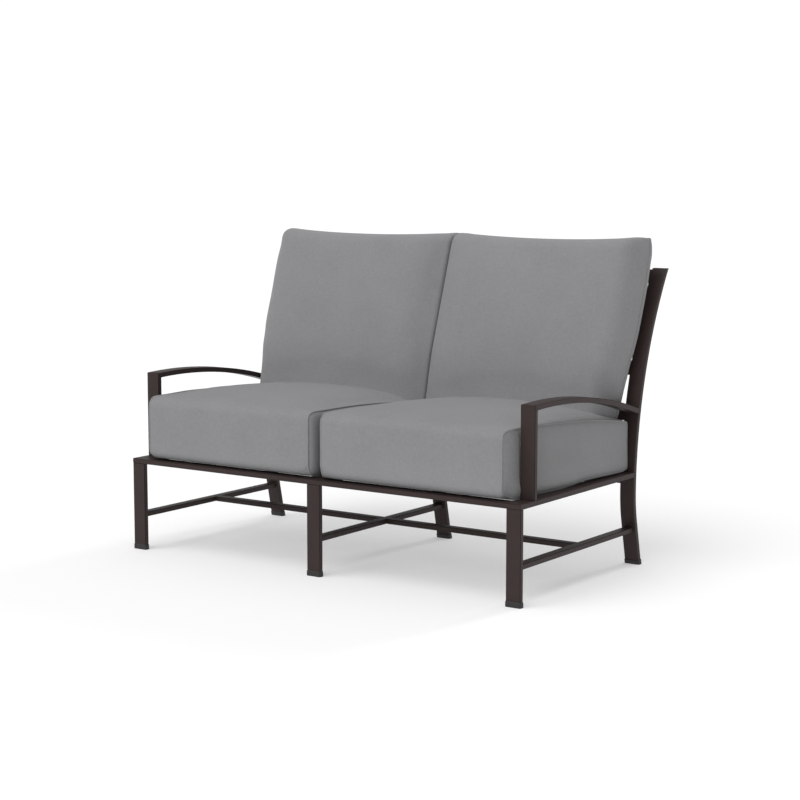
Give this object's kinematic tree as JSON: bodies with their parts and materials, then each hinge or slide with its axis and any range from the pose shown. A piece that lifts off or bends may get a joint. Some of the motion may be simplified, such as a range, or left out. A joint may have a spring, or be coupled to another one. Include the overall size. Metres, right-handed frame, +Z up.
{
  "type": "patio loveseat",
  "caption": "Outdoor loveseat with a welded flat-tube frame, arched arms, a curved slatted back, and loose seat and back cushions.",
  "frame": {"origin": "on the floor under the middle of the overall box", "axes": "+X towards the right arm as seen from the front, +Z up; a sitter faces -Y"},
  "size_m": [1.454, 0.8752, 1.0118],
  "materials": {
    "frame": "espresso brown satin powder coat",
    "foot_cap": "dark brown moulded plastic",
    "plug": "dark brown moulded plastic",
    "fabric": "mid grey plain-woven outdoor cloth"
  },
  "bodies": {
    "frame": {"arm_left": "frame", "arm_post_left": "frame", "arm_post_right": "frame", "arm_right": "frame", "back_slat_left_1": "frame", "back_slat_left_2": "frame", "back_slat_left_3": "frame", "back_slat_left_4": "frame", "back_slat_right_1": "frame", "back_slat_right_2": "frame", "back_slat_right_3": "frame", "back_slat_right_4": "frame", "cross_stretcher_left": "frame", "cross_stretcher_right": "frame", "front_foot_left": "foot_cap", "front_foot_middle": "foot_cap", "front_foot_right": "foot_cap", "front_leg_left": "frame", "front_leg_middle": "frame", "front_leg_right": "frame", "front_rail": "frame", "post_plug_left": "plug", "post_plug_middle": "plug", "post_plug_right": "plug", "rear_foot_left": "foot_cap", "rear_foot_middle": "foot_cap", "rear_foot_right": "foot_cap", "rear_post_left": "frame", "rear_post_middle": "frame", "rear_post_right": "frame", "rear_rail_left": "frame", "rear_rail_right": "frame", "seat_rail_left": "frame", "seat_rail_middle": "frame", "seat_rail_right": "frame", "seat_slat_left_1": "frame", "seat_slat_left_2": "frame", "seat_slat_left_3": "frame", "seat_slat_left_4": "frame", "seat_slat_left_5": "frame", "seat_slat_left_6": "frame", "seat_slat_right_1": "frame", "seat_slat_right_2": "frame", "seat_slat_right_3": "frame", "seat_slat_right_4": "frame", "seat_slat_right_5": "frame", "seat_slat_right_6": "frame", "stretcher_left": "frame", "stretcher_middle": "frame", "stretcher_right": "frame"},
    "seat_cushion_left": {"seat_cushion_left": "fabric"},
    "back_cushion_left": {"back_cushion_left": "fabric"},
    "seat_cushion_right": {"seat_cushion_right": "fabric"},
    "back_cushion_right": {"back_cushion_right": "fabric"}
  },
  "joints": [
    {"name": "seat_cushion_left_pull", "type": "slide", "parent": "frame", "child": "seat_cushion_left", "axis": [0, -1, 0], "range_m": [0, 0.75]},
    {"name": "back_cushion_left_lift", "type": "slide", "parent": "frame", "child": "back_cushion_left", "axis": [0, 0, 1], "range_m": [0, 0.6]},
    {"name": "seat_cushion_right_pull", "type": "slide", "parent": "frame", "child": "seat_cushion_right", "axis": [0, -1, 0], "range_m": [0, 0.75]},
    {"name": "back_cushion_right_lift", "type": "slide", "parent": "frame", "child": "back_cushion_right", "axis": [0, 0, 1], "range_m": [0, 0.6]}
  ]
}
